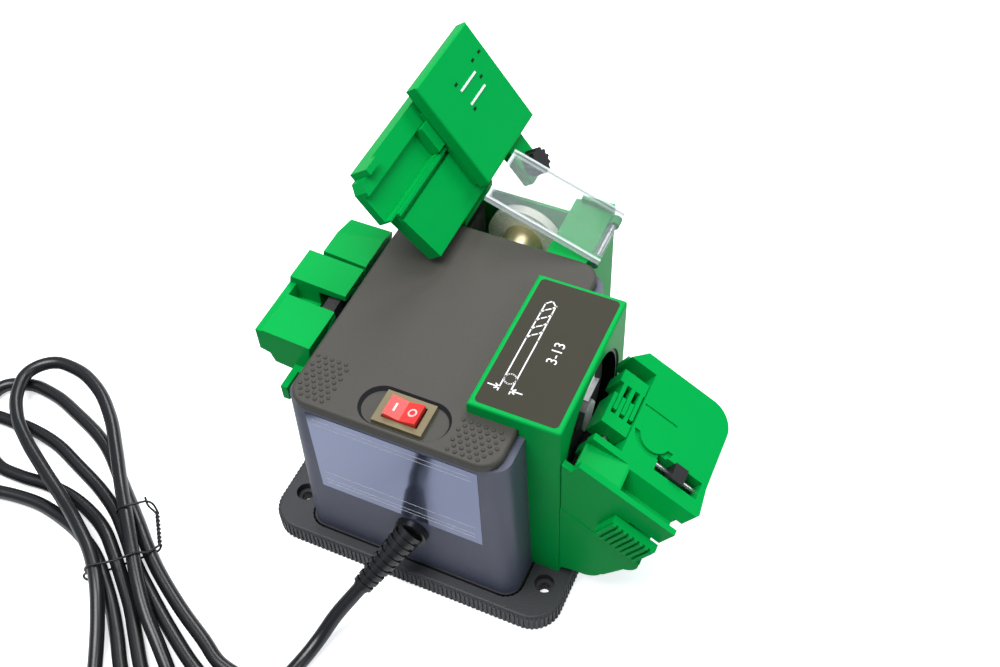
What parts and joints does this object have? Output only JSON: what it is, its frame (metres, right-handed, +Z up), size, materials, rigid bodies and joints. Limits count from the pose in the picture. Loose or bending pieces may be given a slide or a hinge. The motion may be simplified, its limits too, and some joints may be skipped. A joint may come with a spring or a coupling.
{
  "type": "drill bit sharpener",
  "caption": "Bench sharpener on a flat base: tilted swinging drill holder on one side, knife slots on the other, sloping chisel clamp with clear shield behind, rocker switch, tied cord.",
  "frame": {"origin": "centre of the base plate's underside, on the bench", "axes": "+X towards the drill station, +Y to the back (chisel side), +Z up"},
  "size_m": [0.3587, 0.408, 0.1638],
  "materials": {
    "green": "semi-gloss",
    "lid_grey": "fine texture",
    "body_grey": "fine texture",
    "base_grey": "satin",
    "black": "satin",
    "red": "glossy",
    "bezel": "satin",
    "steel": "brushed",
    "brass": "polished",
    "rubber": "matte",
    "abrasive": "gritty",
    "clear": "polished",
    "sticker": "satin",
    "copper": "varnished"
  },
  "bodies": {
    "machine": {"base_plate": "base_grey", "housing": "body_grey", "lid": "lid_grey", "switch_body": "bezel", "switch_tabs": "brass", "motor_can": "steel", "motor_cap": "black", "motor_magnets": "base_grey", "motor_brushes": "black", "motor_cradle": "black", "drive_belt": "rubber", "axle_bearings": "steel", "spindle_bearings": "steel", "drill_station": "green", "station_plate": "sticker", "wheel_guard": "black", "spring_tab": "steel", "drill_cradle": "green", "pivot_pin": "steel", "knife_station": "green", "rear_station": "green", "shield_pin": "steel", "pit_guard": "black", "chisel_bed": "green", "cord_boot": "rubber", "cord": "rubber", "cord_hank": "rubber", "plug": "rubber", "plug_pins": "brass", "twist_tie": "black"},
    "rocker": {"power_rocker": "red"},
    "motor": {"motor_rotor": "copper", "drive_pulley": "steel"},
    "axle": {"cross_shaft": "steel", "driven_pulley": "steel", "axle_gear": "steel", "drill_wheel": "abrasive", "knife_wheel": "abrasive", "shaft_nuts": "steel"},
    "spindle": {"rear_spindle": "steel", "spindle_gear": "steel", "spindle_hub": "brass", "chisel_wheel": "abrasive", "spindle_nut": "steel"},
    "holder": {"drill_holder": "green", "stop_rods": "steel", "jaw_rod": "steel"},
    "near_jaw": {"jaw_front": "green", "thumb_grip": "green"},
    "far_jaw": {"jaw_back": "green"},
    "stop": {"drill_stop": "black"},
    "carriage": {"chisel_carriage": "green", "guide_pins": "steel"},
    "clamp": {"clamp_plate": "green"},
    "knob": {"clamp_knob": "black"},
    "shield": {"shield": "clear"}
  },
  "joints": [
    {"name": "power_rocker_tilt", "type": "hinge", "parent": "machine", "child": "rocker", "pos_m": [0.0025, -0.0561, 0.1042], "axis": [0, 1, 0], "range_deg": [-7, 7]},
    {"name": "motor_spin", "type": "hinge", "parent": "machine", "child": "motor", "pos_m": [0, -0.012, 0.036], "axis": [1, 0, 0], "continuous": true},
    {"name": "axle_spin", "type": "hinge", "parent": "machine", "child": "axle", "pos_m": [0, -0.012, 0.08], "axis": [1, 0, 0], "continuous": true},
    {"name": "spindle_spin", "type": "hinge", "parent": "machine", "child": "spindle", "pos_m": [-0.0024, 0.04, 0.08], "axis": [0, 1, 0], "continuous": true},
    {"name": "holder_swing", "type": "hinge", "parent": "machine", "child": "holder", "pos_m": [0.08022, -0.0135, 0.06846], "axis": [0.515, 0, 0.8572], "range_deg": [0, 12]},
    {"name": "near_jaw_slide", "type": "slide", "parent": "holder", "child": "near_jaw", "axis": [0, -1, 0], "range_m": [0, 0.0055]},
    {"name": "far_jaw_slide", "type": "slide", "parent": "holder", "child": "far_jaw", "axis": [0, 1, 0], "range_m": [0, 0.0055]},
    {"name": "stop_slide", "type": "slide", "parent": "holder", "child": "stop", "axis": [0.8572, 0, -0.515], "range_m": [-0.006, 0.006]},
    {"name": "carriage_slide", "type": "slide", "parent": "machine", "child": "carriage", "axis": [0, 1, 0], "range_m": [-0.0045, 0.01]},
    {"name": "clamp_lift", "type": "slide", "parent": "carriage", "child": "clamp", "axis": [0.7986, 0, 0.6018], "range_m": [0, 0.002]},
    {"name": "knob_turn", "type": "hinge", "parent": "clamp", "child": "knob", "pos_m": [-0.00525, 0.086, 0.10999], "axis": [0.7986, 0, 0.6018], "range_deg": [0, 900]},
    {"name": "shield_swing", "type": "hinge", "parent": "machine", "child": "shield", "pos_m": [0.0393, 0.06, 0.1032], "axis": [0, 1, 0], "range_deg": [-18, 48]}
  ],
  "couplings": [
    {"joint": "axle_spin", "follows": "motor_spin", "ratio": 1},
    {"joint": "spindle_spin", "follows": "motor_spin", "ratio": -1},
    {"joint": "far_jaw_slide", "follows": "near_jaw_slide", "ratio": 1},
    {"joint": "knob_turn", "follows": "clamp_lift", "rad_per_m": 7854}
  ]
}
